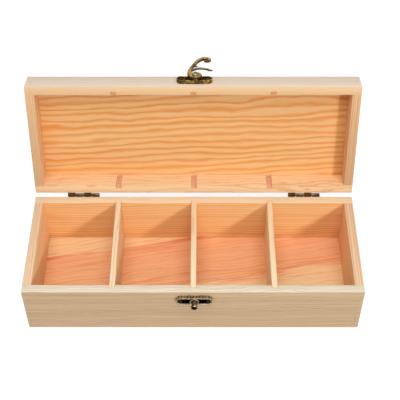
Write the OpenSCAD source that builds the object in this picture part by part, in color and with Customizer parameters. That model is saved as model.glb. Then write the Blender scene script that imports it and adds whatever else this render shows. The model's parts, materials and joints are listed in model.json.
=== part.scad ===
// Tea bag organizer box: a pine box with four compartments, a hinged lid that leans
// back open, two butt hinges at the back and a swing-hook clasp at the front.
// Origin: centre of the base's underside. X runs along the box, Y to the back, Z up.
// Everything is drawn with the lid standing open, as the box is shown in use.

/* [Box] */
// Outside width of the box
box_w = 300; // [260:5:360]
// Outside depth of the box, front to back
box_d = 111; // [90:1:150]
// Height of the base
base_h = 55.5; // [45:0.5:90]
// Height of the lid
lid_h = 23; // [20:0.5:40]
// Thickness of the wall boards
board_t = 8; // [7:0.5:10]
// Thickness of the floor panel
floor_t = 4; // [3:0.5:6]
// Thickness of the lid's top panel
panel_t = 3; // [2.5:0.5:5]
// Rounding along the lid's top edges
lid_edge_r = 2.5; // [1:0.5:3]
// Rounding along the base's bottom edges
base_edge_r = 1.5; // [0.5:0.5:2.5]
// Gap between the two rims when the lid is shut
rim_gap = 0.3; // [0.2:0.1:0.6]

/* [Compartments] */
// Thickness of each divider
divider_t = 5; // [4:0.5:6]
// Depth of the grooves that hold the dividers
groove_d = 3; // [2:0.5:4]
// Clearance at each side of a divider in its groove
groove_fit = 0.1; // [0.05:0.05:0.3]
// How much wider an end compartment is than an inner one
end_extra = 1.9; // [0:0.1:6]
// Distance that the middle divider stands to the right of the box's middle
divider_shift = 0.3; // [-1:0.1:1]

/* [Corner brads] */
// Diameter of a brad
brad_d = 1.2; // [1:0.1:1.6]
// Length of a brad
brad_len = 20; // [16:1:26]
// Depth of a brad's head under the board's face
brad_sink = 0.4; // [0.2:0.1:0.8]
// Distance of the base's outer brads from its bottom and top edges
brad_inset = 13; // [9:0.5:18]

/* [Hinges] */
// Distance from the end of the box to the middle of a hinge
hinge_inset = 45.5; // [30:0.5:60]
// Width of a hinge
hinge_w = 30; // [24:1:36]
// Height of a leaf from the hinge's axis to the leaf's free edge
leaf_h = 12; // [10:0.5:14]
// Thickness of a leaf
leaf_t = 0.9; // [0.6:0.1:1]
// Diameter of the knuckles
knuckle_d = 4.2; // [4:0.1:5]
// Diameter of the hinge pin
pin_d = 2.2; // [1.8:0.1:2.4]
// Gap between neighbouring knuckles
knuckle_gap = 0.3; // [0.2:0.1:0.5]
// Gap between the knuckles and the back of the box
knuckle_clear = 0.2; // [0.1:0.05:0.4]
// Distance that the stop lug reaches below the hinge's axis
lug_reach = 4.4; // [3.8:0.1:5]
// Thickness of the stop lug
lug_t = 1.6; // [1.2:0.1:2]
// Angle that the lid opens before its stop lugs meet the base leaves
lid_open = 106; // [96:1:110]
// Distance between the two nails of a leaf
leaf_nail_pitch = 18; // [12:1:20]
// Height of a leaf's nails from the hinge's axis
leaf_nail_h = 7.6; // [6:0.2:8.4]

/* [Nails] */
// Diameter of a nail's shank
nail_d = 1.2; // [1:0.1:1.4]
// Length of a nail under its head
nail_len = 6.5; // [5:0.5:6.5]
// Diameter of a nail's head
nail_head_d = 2.6; // [2.2:0.1:3]
// Thickness of a nail's head
nail_head_t = 0.8; // [0.5:0.1:1]

/* [Clasp] */
// Distance from the box's middle to the clasp's middle
clasp_x = 1.2; // [-5:0.1:5]
// Length of each clasp plate
plate_w = 32; // [28:1:40]
// Height of each clasp plate
plate_h = 9.5; // [8.5:0.5:11]
// Thickness of each clasp plate
plate_t = 3.8; // [3.4:0.1:4.6]
// Width of the bevel round each plate's face
plate_bevel = 0.4; // [0.2:0.1:0.8]
// Distance between the two nails of a plate
plate_nail_pitch = 24.2; // [20:0.2:26]
// Depth of the recess that takes a nail's head
plate_recess = 1.2; // [1:0.1:1.6]
// Height of the hook's pivot above the lid's rim
pivot_rise = 10; // [8:0.1:12]
// Distance of the catch post below the base's rim
post_drop = 8.8; // [7:0.1:10]
// Diameter of the catch post's head
post_d = 5.4; // [5:0.1:6]
// Diameter of the catch post's neck
neck_d = 4; // [3.4:0.1:4.2]
// Length of the catch post's head
post_head_len = 2.6; // [2:0.1:4]
// Diameter of the catch post's shank in its plate
shank_d = 3; // [2.4:0.1:3.4]

/* [Hook] */
// Thickness of the hook
hook_t = 3; // [2.4:0.1:3.4]
// Diameter of the hook's ring
ring_d = 11.6; // [10:0.2:12]
// Height of the seat under the ring
seat_t = 0.6; // [0.4:0.1:1]
// Diameter of the seat under the ring
seat_d = 8; // [7:0.5:9]
// Distance of the hook's pivot to the right of its plate's middle
pivot_shift = 1; // [0:0.1:1.5]
// Thickness of the hook's prong
prong_t = 2.2; // [1.6:0.1:2.4]
// Bevel round the hook's ring
ring_bevel = 0.9; // [0.4:0.1:1]
// Diameter of the rivet's shank
rivet_d = 3; // [2.4:0.1:3.4]
// Diameter of the rivet's head
rivet_head_d = 6; // [5:0.2:7]
// Height of the rivet's domed head
rivet_head_h = 2; // [1.5:0.1:2.2]
// Gap at each face of the ring
ring_gap = 0.2; // [0.1:0.05:0.3]
// Clearance of a pin or a shank in its hole
running_fit = 0.05; // [0.03:0.01:0.1]

/* [Hidden] */
$fn = 48;

cut = 1;               // how far a cut runs past the face that it opens
nail_fit = 0.05;       // clearance round a nail or a brad in its hole
stop_gap = 0.1;        // gap between a stop lug and the base leaf at rest
lug_side = 0.5;        // how far a stop lug's sides stand in from its knuckle's ends
lug_bite = 0.25;       // how far a stop lug's root stays clear of the pin

inner_w = box_w - 2 * board_t;
inner_d = box_d - 2 * board_t;
inner_room = (inner_w - 3 * divider_t - 2 * end_extra) / 4;
divider_pitch = inner_room + divider_t;

axis_off = knuckle_d / 2 + knuckle_clear;       // hinge axis behind the back of the box
axis_y = box_d / 2 + axis_off;
axis_z = base_h + rim_gap / 2;
hinge_x = box_w / 2 - hinge_inset;
knuckle_w = (hinge_w - 3 * knuckle_gap) / 4;
knuckle_step = knuckle_w + knuckle_gap;

lid_z = base_h + rim_gap;                       // the lid's rim when the lid is shut
pivot_z = lid_z + pivot_rise;
post_z = base_h - post_drop;
ring_z = plate_t + seat_t + ring_gap;           // underside of the hook, from the wood
rivet_z = ring_z + hook_t + ring_gap;           // underside of the rivet's head
post_head_z = ring_z + hook_t + 2 * ring_gap;   // underside of the post's head

pine = [0.86, 0.73, 0.55];
pine_warm = [0.88, 0.62, 0.40];
pine_pale = [0.91, 0.80, 0.63];
bronze = [0.36, 0.27, 0.15];
bronze_dark = [0.20, 0.15, 0.10];
steel = [0.55, 0.55, 0.55];

// Centrelines of the hook's arm, prong and nib, seen from the front with the lid's top
// upwards: [x, y, half width], measured from the pivot.
arm_line = [
    [-4.2, -2.6, 1.8], [-5.2, 1, 2.1], [-5.5, 5.4, 2.1], [-5.3, 10.2, 1.8],
    [-4.1, 15.2, 1.6], [-2.2, 20.5, 1.6], [-0.2, 26, 1.8], [2.1, 31, 2],
    [5.2, 34.7, 2.1], [8.7, 36.2, 2.1], [11.7, 35.1, 2], [12.3, 32.3, 1.8],
    [10.8, 30.5, 1.5], [8.6, 30.8, 1.2]
];
prong_line = [
    [-4.6, 9.4, 0.9], [-2.7, 11.4, 1.3], [-0.6, 13.3, 1.2], [2.9, 14.8, 1.1],
    [6.3, 14.7, 1.1], [9.8, 13.6, 1.1], [12.3, 11.7, 1.2], [14.6, 10.9, 0.8]
];
nib_line = [[-2.4, 19.9, 1.3], [0.2, 19.5, 0.9], [2, 18.8, 0.4]];
cap_steps = 6;
line_steps = 4;

// ---- outlines ----

// The point a share t of the way from p1 to p2 on a smooth curve through all four
function on_curve(p0, p1, p2, p3, t) =
    0.5 * (2 * p1 + (p2 - p0) * t + (2 * p0 - 5 * p1 + 4 * p2 - p3) * t * t
    + (3 * p1 - p0 - 3 * p2 + p3) * t * t * t);

// A centreline with k points for each of its own
function smooth(line, k) = let (n = len(line) - 1) concat(
    [for (i = [0 : n - 1]) for (j = [0 : k - 1])
        on_curve(line[max(i - 1, 0)], line[i], line[i + 1], line[min(i + 2, n)], j / k)],
    [line[n]]);

// Unit vector square to the centreline at point i, to its left
function side_of(line, i) =
    let (a = line[max(i - 1, 0)], b = line[min(i + 1, len(line) - 1)])
    let (dx = b[0] - a[0], dy = b[1] - a[1])
    [-dy, dx] / norm([dx, dy]);

function edge_point(line, i, side) =
    [line[i][0], line[i][1]] + side * line[i][2] * side_of(line, i);

// The round end of a band, from its left edge to its right edge
function cap(line) = let (
        last = len(line) - 1,
        left = side_of(line, last),
        start = atan2(left[1], left[0]))
    [for (i = [1 : cap_steps - 1]) let (turn = start - 180 * i / cap_steps)
        [line[last][0], line[last][1]] + line[last][2] * [cos(turn), sin(turn)]];

// A band along the centreline, as wide as its points say, with a round end
module band(line) {
    last = len(line) - 1;
    polygon(concat(
        [for (i = [0 : last]) edge_point(line, i, 1)],
        cap(line),
        [for (i = [last : -1 : 0]) edge_point(line, i, -1)]));
}

// ---- shared solids ----

// A box from its low corner to its high corner
module span(low, high) {
    translate(low) cube(high - low);
}

// A square with its two top corners rounded, centred on X and standing on the X axis
module round_topped(w, h, r) {
    translate([-w / 2, 0]) square([w, h - r]);
    translate([-w / 2 + r, 0]) square([w - 2 * r, h]);
    for (side = [-1, 1]) translate([side * (w / 2 - r), h - r]) circle(r);
}

// A block of the box's outline whose four top edges are rounded
module round_topped_block(h, r) {
    intersection() {
        rotate([90, 0, 0])
            linear_extrude(box_d + 2 * cut, center = true) round_topped(box_w, h, r);
        rotate([90, 0, 90])
            linear_extrude(box_w + 2 * cut, center = true) round_topped(box_d, h, r);
    }
}

// The outside of the base, whose bottom edges are rounded
module base_block() {
    translate([0, 0, base_h]) mirror([0, 0, 1]) round_topped_block(base_h, base_edge_r);
}

// The outside of the shut lid
module lid_block() {
    translate([0, 0, lid_z]) round_topped_block(lid_h, lid_edge_r);
}

// Turns what is drawn on the shut lid to where the lid stands open
module opened() {
    translate([0, axis_y, axis_z]) rotate([-lid_open, 0, 0])
        translate([0, -axis_y, -axis_z]) children();
}

// Puts what is drawn face up at the origin on the front of the box, at the clasp
module on_front(z) {
    translate([clasp_x, -box_d / 2, z]) rotate([90, 0, 0]) children();
}

// The same at the hook's pivot, where the lid stands open
module on_pivot() {
    opened() on_front(pivot_z) translate([pivot_shift, 0, 0]) children();
}

// Puts what is drawn face up at the origin on the back of the box
module on_back(x, z) {
    translate([x, box_d / 2, z]) rotate([-90, 0, 0]) children();
}

module hinge_places() {
    for (side = [-1, 1]) on_hinge(side) children();
}

module on_hinge(side) {
    translate([side * hinge_x, 0, 0]) children();
}

// ---- dividers and their grooves ----

function divider_x(i) = divider_shift + i * divider_pitch;

// The three grooves of one board, between two heights; front is -1, back is 1
module grooves(side, z0, z1) {
    for (i = [-1 : 1])
        translate([divider_x(i), side * (inner_d / 2 + groove_d / 2), (z0 + z1) / 2])
            cube([divider_t + 2 * groove_fit, groove_d, z1 - z0], center = true);
}

module divider(i) {
    color(pine_pale)
        translate([divider_x(i), 0, (floor_t + base_h) / 2])
            cube([divider_t, inner_d + 2 * groove_d - 2 * groove_fit, base_h - floor_t],
                center = true);
}

// ---- brads ----

base_brad_heights = [brad_inset, base_h - brad_inset];
lid_brad_heights = [lid_z + (lid_h - panel_t) / 2];

// Places a brad through each end of the front and back boards, at the given heights
module brad_places(heights) {
    for (side = [-1, 1]) for (end = [-1, 1]) for (z = heights)
        translate([end * (box_w - board_t) / 2, side * box_d / 2, z])
            rotate([side * 90, 0, 0]) children();
}

module brad_holes(heights) {
    brad_places(heights) translate([0, 0, -cut])
        cylinder(h = brad_sink + brad_len + nail_fit + cut, d = brad_d + 2 * nail_fit);
}

module brads(heights) {
    color(steel) brad_places(heights) translate([0, 0, brad_sink])
        cylinder(h = brad_len, d = brad_d);
}

// ---- nails ----

// A nail that stands with its head's underside on z = 0 and its point down
module nail() {
    translate([0, 0, -nail_len + nail_d]) cylinder(h = nail_len - nail_d, d = nail_d);
    translate([0, 0, -nail_len]) cylinder(h = nail_d, d1 = nail_d / 4, d2 = nail_d);
    cylinder(h = nail_head_t, d1 = nail_head_d, d2 = nail_head_d / 2);
}

// The hole that a nail needs, from above its head to below its point
module nail_hole() {
    translate([0, 0, -nail_len - nail_fit])
        cylinder(h = nail_len + nail_fit + plate_t + cut, d = nail_d + 2 * nail_fit);
}

// Nails of one leaf, up (1) on the lid or down (-1) on the base
module leaf_nail_places(up) {
    for (side = [-1, 1]) hinge_places()
        on_back(side * leaf_nail_pitch / 2, axis_z + up * leaf_nail_h)
            translate([0, 0, leaf_t]) children();
}

// Nails of one clasp plate, whose middle is at height z on the shut box
module plate_nail_places(z) {
    on_front(z) for (side = [-1, 1])
        translate([side * plate_nail_pitch / 2, 0, plate_t - plate_recess]) children();
}

// ---- boards of the base ----

module base_end_board(side) {
    color(pine) intersection() {
        base_block();
        difference() {
            span([-box_w / 2, side > 0 ? inner_d / 2 : -box_d / 2, 0],
                [box_w / 2, side > 0 ? box_d / 2 : -inner_d / 2, base_h]);
            grooves(side, floor_t, base_h + cut);
            brad_holes(base_brad_heights);
            if (side > 0) leaf_nail_places(-1) nail_hole();
            if (side < 0) plate_nail_places(post_z) nail_hole();
        }
    }
}

module base_side_board(side) {
    color(pine) intersection() {
        base_block();
        difference() {
            span([side > 0 ? inner_w / 2 : -box_w / 2, -inner_d / 2, 0],
                [side > 0 ? box_w / 2 : -inner_w / 2, inner_d / 2, base_h]);
            brad_holes(base_brad_heights);
        }
    }
}

module base_front_board() {
    base_end_board(-1);
}

module base_back_board() {
    base_end_board(1);
}

module base_left_board() {
    base_side_board(-1);
}

module base_right_board() {
    base_side_board(1);
}

module base_floor() {
    color(pine_warm) span([-inner_w / 2, -inner_d / 2, 0], [inner_w / 2, inner_d / 2, floor_t]);
}

module base_brads() {
    brads(base_brad_heights);
}

// ---- rails and panel of the lid ----

module lid_end_rail(side) {
    color(pine) opened() intersection() {
        lid_block();
        difference() {
            span([-box_w / 2, side > 0 ? inner_d / 2 : -box_d / 2, lid_z],
                [box_w / 2, side > 0 ? box_d / 2 : -inner_d / 2, lid_z + lid_h]);
            grooves(side, lid_z - cut, lid_z + lid_h - panel_t);
            brad_holes(lid_brad_heights);
            if (side > 0) leaf_nail_places(1) nail_hole();
            if (side < 0) plate_nail_places(pivot_z) nail_hole();
        }
    }
}

module lid_side_rail(side) {
    color(pine) opened() intersection() {
        lid_block();
        difference() {
            span([side > 0 ? inner_w / 2 : -box_w / 2, -inner_d / 2, lid_z],
                [side > 0 ? box_w / 2 : -inner_w / 2, inner_d / 2, lid_z + lid_h]);
            brad_holes(lid_brad_heights);
        }
    }
}

module lid_front_rail() {
    lid_end_rail(-1);
}

module lid_back_rail() {
    lid_end_rail(1);
}

module lid_left_rail() {
    lid_side_rail(-1);
}

module lid_right_rail() {
    lid_side_rail(1);
}

module lid_panel() {
    color(pine_warm) opened()
        span([-inner_w / 2, -inner_d / 2, lid_z + lid_h - panel_t],
            [inner_w / 2, inner_d / 2, lid_z + lid_h]);
}

module lid_brads() {
    color(steel) opened() brads(lid_brad_heights);
}

// ---- hinges ----

// Puts what is drawn at the left end of a knuckle on two of a hinge's four knuckles
module at_knuckles(first) {
    for (i = [first, first + 2])
        translate([-hinge_w / 2 + i * knuckle_step, 0, 0]) children();
}

// A slab of a leaf against the back of the shut box, between two heights from the axis
module leaf_slab(w, h0, h1) {
    span([0, box_d / 2, axis_z + min(h0, h1)], [w, box_d / 2 + leaf_t, axis_z + max(h0, h1)]);
}

// One leaf on the back of the shut box, up (1) on the lid or down (-1) on the base, with
// knuckles number first and first + 2 and notches for the other leaf's knuckles
module leaf(up, first) {
    notch = knuckle_d / 2 + knuckle_clear;
    translate([-hinge_w / 2, 0, 0]) leaf_slab(hinge_w, up * notch, up * leaf_h);
    at_knuckles(first) {
        leaf_slab(knuckle_w, 0, up * (notch + leaf_t));
        translate([0, axis_y, axis_z]) rotate([0, 90, 0])
            cylinder(h = knuckle_w, d = knuckle_d);
    }
}

module leaf_nail_holes(up) {
    for (side = [-1, 1])
        on_back(side * leaf_nail_pitch / 2, axis_z + up * leaf_nail_h)
            translate([0, 0, leaf_t]) nail_hole();
}

module pin_bore() {
    translate([0, axis_y, axis_z]) rotate([0, 90, 0])
        cylinder(h = hinge_w + 2 * cut, d = pin_d + 2 * running_fit, center = true);
}

module base_leaf(side) {
    color(bronze) on_hinge(side) difference() {
        leaf(-1, 1);
        pin_bore();
        leaf_nail_holes(-1);
    }
}

// Lugs on the lid leaf's knuckles that stand against the base leaf when the lid is open,
// rooted in the wall of the knuckle under the pin
module stop_lugs() {
    root = pin_d / 2 + lug_bite;
    at_knuckles(0)
        translate([lug_side, box_d / 2 + leaf_t + stop_gap, axis_z - lug_reach])
            cube([knuckle_w - 2 * lug_side, lug_t, lug_reach - root]);
}

module lid_leaf(side) {
    color(bronze) on_hinge(side) difference() {
        union() {
            opened() difference() {
                leaf(1, 0);
                leaf_nail_holes(1);
            }
            stop_lugs();
        }
        pin_bore();
    }
}

module pin(side) {
    color(bronze_dark) on_hinge(side) translate([0, axis_y, axis_z]) rotate([0, 90, 0])
        cylinder(h = hinge_w, d = pin_d, center = true);
}

module hinge_left_base_leaf() {
    base_leaf(-1);
}

module hinge_right_base_leaf() {
    base_leaf(1);
}

module hinge_left_lid_leaf() {
    lid_leaf(-1);
}

module hinge_right_lid_leaf() {
    lid_leaf(1);
}

module hinge_left_pin() {
    pin(-1);
}

module hinge_right_pin() {
    pin(1);
}

module hinge_base_nails() {
    color(bronze_dark) leaf_nail_places(-1) nail();
}

module hinge_lid_nails() {
    color(bronze_dark) opened() leaf_nail_places(1) nail();
}

// ---- clasp ----

// A bar with round ends, lying on z = 0
module round_bar(w, h, t) {
    linear_extrude(t) {
        square([w - h, h], center = true);
        for (side = [-1, 1]) translate([side * (w - h) / 2, 0]) circle(h / 2);
    }
}

// A clasp plate with a stepped edge, a recess for each nail's head, and a seat with a
// bore that stand to the right of its middle by the shift
module clasp_plate(bore_d, shift) {
    difference() {
        union() {
            round_bar(plate_w, plate_h, plate_t - plate_bevel);
            round_bar(plate_w - 2 * plate_bevel, plate_h - 2 * plate_bevel, plate_t);
            translate([shift, 0, 0]) cylinder(h = plate_t + seat_t, d = seat_d);
        }
        translate([shift, 0, -cut])
            cylinder(h = plate_t + seat_t + 2 * cut, d = bore_d + 2 * running_fit);
        for (side = [-1, 1]) translate([side * plate_nail_pitch / 2, 0, 0]) {
            translate([0, 0, plate_t - plate_recess])
                cylinder(h = plate_t, d = nail_head_d + 2 * ring_gap);
            translate([0, 0, -cut]) cylinder(h = plate_t + cut, d = nail_d + 2 * nail_fit);
        }
    }
}

module catch_plate() {
    color(bronze) on_front(post_z) clasp_plate(shank_d, 0);
}

// The post's neck stands between the plate's seat and the post's head
module catch_post() {
    color(bronze_dark) on_front(post_z) {
        cylinder(h = plate_t + seat_t, d = shank_d);
        translate([0, 0, plate_t + seat_t])
            cylinder(h = post_head_z - plate_t - seat_t, d = neck_d);
        translate([0, 0, post_head_z]) cylinder(h = post_head_len, d = post_d);
    }
}

module catch_plate_nails() {
    color(bronze_dark) plate_nail_places(post_z) nail();
}

module hook_plate() {
    color(bronze) opened() on_front(pivot_z) clasp_plate(rivet_d, pivot_shift);
}

module hook_plate_nails() {
    color(bronze_dark) opened() plate_nail_places(pivot_z) nail();
}

module hook_rivet() {
    dome_r = (pow(rivet_head_d / 2, 2) + pow(rivet_head_h, 2)) / (2 * rivet_head_h);
    color(bronze_dark) on_pivot() {
        cylinder(h = rivet_z, d = rivet_d);
        translate([0, 0, rivet_z]) intersection() {
            cylinder(h = rivet_head_h, d = rivet_head_d);
            translate([0, 0, rivet_head_h - dome_r]) sphere(dome_r);
        }
    }
}

// A disc with bevelled edges
module bevelled_disc(d, t, bevel) {
    rotate_extrude() polygon([
        [0, 0], [d / 2 - bevel, 0], [d / 2, bevel], [d / 2, t - bevel], [d / 2 - bevel, t], [0, t]]);
}

// The hook hangs with its arm towards the lid's top; its mouth takes the post's neck
module hook() {
    color(bronze) on_pivot() translate([0, 0, ring_z]) difference() {
        union() {
            bevelled_disc(ring_d, hook_t, ring_bevel);
            linear_extrude(hook_t) band(smooth(arm_line, line_steps));
            linear_extrude(hook_t) band(smooth(nib_line, line_steps));
            translate([0, 0, (hook_t - prong_t) / 2])
                linear_extrude(prong_t) band(smooth(prong_line, line_steps));
        }
        translate([0, 0, -cut])
            cylinder(h = hook_t + 2 * cut, d = rivet_d + 2 * running_fit);
    }
}

base_front_board();
base_back_board();
base_left_board();
base_right_board();
base_floor();
divider(-1);  // divider_left
divider(0);  // divider_middle
divider(1);  // divider_right
base_brads();
hinge_left_base_leaf();
hinge_right_base_leaf();
hinge_left_pin();
hinge_right_pin();
hinge_base_nails();
catch_plate();
catch_post();
catch_plate_nails();
lid_front_rail();
lid_back_rail();
lid_left_rail();
lid_right_rail();
lid_panel();
lid_brads();
hinge_left_lid_leaf();
hinge_right_lid_leaf();
hinge_lid_nails();
hook_plate();
hook_rivet();
hook_plate_nails();
hook();
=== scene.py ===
import json
import math

import bmesh
import bpy
from mathutils import Matrix, Vector

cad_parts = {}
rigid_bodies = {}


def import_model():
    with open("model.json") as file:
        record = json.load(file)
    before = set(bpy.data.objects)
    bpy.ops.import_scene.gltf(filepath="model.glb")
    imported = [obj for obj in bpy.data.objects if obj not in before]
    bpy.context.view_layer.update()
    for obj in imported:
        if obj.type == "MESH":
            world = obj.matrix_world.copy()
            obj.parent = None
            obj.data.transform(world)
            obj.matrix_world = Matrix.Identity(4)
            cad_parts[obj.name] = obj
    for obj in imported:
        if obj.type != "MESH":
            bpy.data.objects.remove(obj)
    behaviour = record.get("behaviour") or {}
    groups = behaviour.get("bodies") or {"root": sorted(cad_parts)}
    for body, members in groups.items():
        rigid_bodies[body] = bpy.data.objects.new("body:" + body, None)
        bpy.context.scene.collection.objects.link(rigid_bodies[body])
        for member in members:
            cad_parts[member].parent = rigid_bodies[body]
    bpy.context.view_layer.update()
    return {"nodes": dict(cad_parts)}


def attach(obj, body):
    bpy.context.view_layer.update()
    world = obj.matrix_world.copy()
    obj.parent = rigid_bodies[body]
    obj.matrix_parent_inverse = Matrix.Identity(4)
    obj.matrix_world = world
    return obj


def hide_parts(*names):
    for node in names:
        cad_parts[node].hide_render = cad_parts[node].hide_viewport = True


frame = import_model()
print("frame loaded,", len(frame["nodes"]), "nodes")

# Lengths are in millimetres, as in the part's source, apart from the studio's
mm = 0.001

box = {
    "width": 300, "depth": 111, "baseHeight": 55.5, "lidHeight": 23,
    "board": 8, "floor": 4, "panel": 3, "rimGap": 0.3,
}
hinge = {
    "axisY": 57.8, "axisZ": 55.65, "opening": 106, "x": 104.5, "width": 30,
    "leafHeight": 12, "leaf": 0.9, "leafGap": 2.3, "cornerRound": 1.5, "ease": 0.15,
    "knuckleGap": 0.3, "knuckleRound": 1.65, "knuckleEase": 0.25, "tabStart": 0.3,
    "pin": 1.1, "pinEase": 0.3, "pinFit": 0.05, "nailPitch": 18, "nailDrop": 7.6,
    "lugY": (56.5, 58.1), "lugZ": (51.25, 54.3), "lugInset": 0.5, "lugEase": 0.2,
}
halfW = box["width"] / 2
halfD = box["depth"] / 2
innerW = halfW - box["board"]
innerD = halfD - box["board"]
lidZ = box["baseHeight"] + box["rimGap"]
lidTop = lidZ + box["lidHeight"]

hingeAxis = Vector((0, hinge["axisY"], hinge["axisZ"])) * mm
lidTurn = (Matrix.Translation(hingeAxis)
           @ Matrix.Rotation(math.radians(-hinge["opening"]), 4, "X")
           @ Matrix.Translation(-hingeAxis))


def deselectAll():
    bpy.ops.object.select_all(action="DESELECT")


def onlySelect(piece):
    deselectAll()
    piece.select_set(True)
    bpy.context.view_layer.objects.active = piece


def applyPlace(piece):
    onlySelect(piece)
    bpy.ops.object.transform_apply(location=True, rotation=True, scale=True)


def movePiece(piece, matrix):
    piece.matrix_world = matrix @ piece.matrix_world
    applyPlace(piece)
    return piece


def startBox(name, low, high):
    deselectAll()
    middle = [(a + b) / 2 * mm for a, b in zip(low, high)]
    bpy.ops.mesh.primitive_cube_add(size=1, location=middle)
    piece = bpy.context.object
    piece.name = name
    piece.scale = [(b - a) * mm for a, b in zip(low, high)]
    applyPlace(piece)
    return piece


def joinPieces(pieces, name):
    onlySelect(pieces[0])
    for other in pieces:
        other.select_set(True)
    bpy.ops.object.join()
    pieces[0].name = name
    return pieces[0]


def copyPiece(piece, matrix, name):
    onlySelect(piece)
    bpy.ops.object.duplicate(linked=False)
    twin = bpy.context.object
    twin.name = name
    return movePiece(twin, matrix)


def near(a, b):
    return abs(a - b) < 0.02


# A test for edges at one height and one place along x or y
def edgeAt(axis, place, z):
    def onIt(p):
        return near(p.z, z) and near(getattr(p, axis), place)
    return lambda a, b: onIt(a) and onIt(b)


# Bevels the edges whose two ends, in millimetres, pass a test
def bevelWhere(piece, test, width, steps):
    onlySelect(piece)
    bpy.ops.object.mode_set(mode="EDIT")
    bpy.ops.mesh.select_mode(type="EDGE")
    bpy.ops.mesh.select_all(action="DESELECT")
    mesh = bmesh.from_edit_mesh(piece.data)
    for edge in mesh.edges:
        if test(edge.verts[0].co / mm, edge.verts[1].co / mm):
            edge.select_set(True)
    bmesh.update_edit_mesh(piece.data)
    bpy.ops.mesh.bevel(offset=width * mm, segments=steps, affect="EDGES")
    bpy.ops.object.mode_set(mode="OBJECT")


# Eases every edge that is still sharp
def easeEdges(piece, width):
    onlySelect(piece)
    bpy.ops.object.modifier_add(type="BEVEL")
    ease = piece.modifiers[-1]
    ease.width = width * mm
    ease.segments = 2
    ease.limit_method = "ANGLE"
    ease.angle_limit = math.radians(50)
    bpy.ops.object.modifier_apply(modifier=ease.name)


def combine(piece, other, operation):
    onlySelect(piece)
    bpy.ops.object.modifier_add(type="BOOLEAN")
    change = piece.modifiers[-1]
    change.operation = operation
    change.solver = "EXACT"
    change.object = other
    bpy.ops.object.modifier_apply(modifier=change.name)
    bpy.data.objects.remove(other)


def smoothShade(piece, angle=35):
    onlySelect(piece)
    bpy.ops.object.shade_smooth_by_angle(angle=math.radians(angle))


# A turned part from [radius, height] pairs, bottom to top, round the Z axis
def turnPart(name, profile, steps):
    deselectAll()
    radius, height = profile[0]
    bpy.ops.mesh.primitive_circle_add(
        vertices=steps, radius=radius * mm, fill_type="NGON", location=(0, 0, height * mm))
    piece = bpy.context.object
    piece.name = name
    applyPlace(piece)
    bpy.ops.object.mode_set(mode="EDIT")
    bpy.ops.mesh.select_mode(type="FACE")
    bpy.ops.mesh.select_all(action="SELECT")
    for newRadius, newHeight in profile[1:]:
        bpy.ops.mesh.extrude_region_move(
            TRANSFORM_OT_translate={"value": (0, 0, (newHeight - height) * mm)})
        if newRadius == 0:
            bpy.ops.mesh.merge(type="CENTER")
        elif newRadius != radius:
            grow = newRadius / radius
            bpy.ops.transform.resize(
                value=(grow, grow, 1), center_override=(0, 0, newHeight * mm))
        radius, height = newRadius, newHeight
    bpy.ops.mesh.select_all(action="SELECT")
    bpy.ops.mesh.normals_make_consistent(inside=False)
    bpy.ops.object.mode_set(mode="OBJECT")
    return piece


# [radius, height] pairs of a dome that starts at a radius and a height
def domeProfile(radius, height, rise, steps):
    ball = (radius ** 2 + rise ** 2) / (2 * rise)
    reach = math.asin(radius / ball)
    turns = [reach * (1 - i / steps) for i in range(1, steps + 1)]
    return [[ball * math.sin(a) if a > 0 else 0, height + rise - ball * (1 - math.cos(a))]
            for a in turns]


def peg(name, radius, low, high, steps=24):
    return turnPart(name, [[radius, low], [radius, high]], steps)


# Turns that lay a part drawn face up on the front or the back of the shut box
def onFront(x, z):
    return (Matrix.Translation(Vector((x, -halfD, z)) * mm)
            @ Matrix.Rotation(math.radians(90), 4, "X"))


def onBack(x, z):
    return (Matrix.Translation(Vector((x, halfD, z)) * mm)
            @ Matrix.Rotation(math.radians(-90), 4, "X"))


# Lays a part drawn up the Z axis along the hinges' axis
def onHinge(x):
    return (Matrix.Translation(Vector((x, hinge["axisY"], hinge["axisZ"])) * mm)
            @ Matrix.Rotation(math.radians(90), 4, "Y"))


def tint(red, green, blue):
    def straight(value):
        value = value / 255
        return value / 12.92 if value <= 0.04045 else ((value + 0.055) / 1.055) ** 2.4
    return (straight(red), straight(green), straight(blue), 1)


def addNode(tree, kind):
    return tree.nodes.new("ShaderNode" + kind)


def feed(tree, value, socket):
    if isinstance(value, bpy.types.NodeSocket):
        tree.links.new(value, socket)
    else:
        socket.default_value = value


def calc(tree, operation, *values):
    node = addNode(tree, "Math")
    node.operation = operation
    for value, socket in zip(values, node.inputs):
        feed(tree, value, socket)
    return node.outputs[0]


def times(tree, first, second):
    return calc(tree, "MULTIPLY", first, second)


def stretch(tree, vector, factors):
    node = addNode(tree, "VectorMath")
    node.operation = "MULTIPLY"
    feed(tree, vector, node.inputs[0])
    node.inputs[1].default_value = factors
    return node.outputs[0]


def mapped(tree, vector, turn, move):
    node = addNode(tree, "Mapping")
    feed(tree, vector, node.inputs["Vector"])
    node.inputs["Rotation"].default_value = [math.radians(a) for a in turn]
    node.inputs["Location"].default_value = [a * mm for a in move]
    return node.outputs[0]


def noise(tree, vector, scale, detail, rough=0.5):
    node = addNode(tree, "TexNoise")
    feed(tree, vector, node.inputs["Vector"])
    feed(tree, scale, node.inputs["Scale"])
    node.inputs["Detail"].default_value = detail
    node.inputs["Roughness"].default_value = rough
    return node


def blend(tree, factor, first, second):
    node = addNode(tree, "Mix")
    node.data_type = "RGBA"
    feed(tree, factor, node.inputs[0])
    feed(tree, first, node.inputs[6])
    feed(tree, second, node.inputs[7])
    return node.outputs[2]


def spread(tree, value, low, high, newLow=0.0, newHigh=1.0):
    node = addNode(tree, "MapRange")
    feed(tree, value, node.inputs["Value"])
    feed(tree, low, node.inputs["From Min"])
    feed(tree, high, node.inputs["From Max"])
    node.inputs["To Min"].default_value = newLow
    node.inputs["To Max"].default_value = newHigh
    return node.outputs[0]


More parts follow.
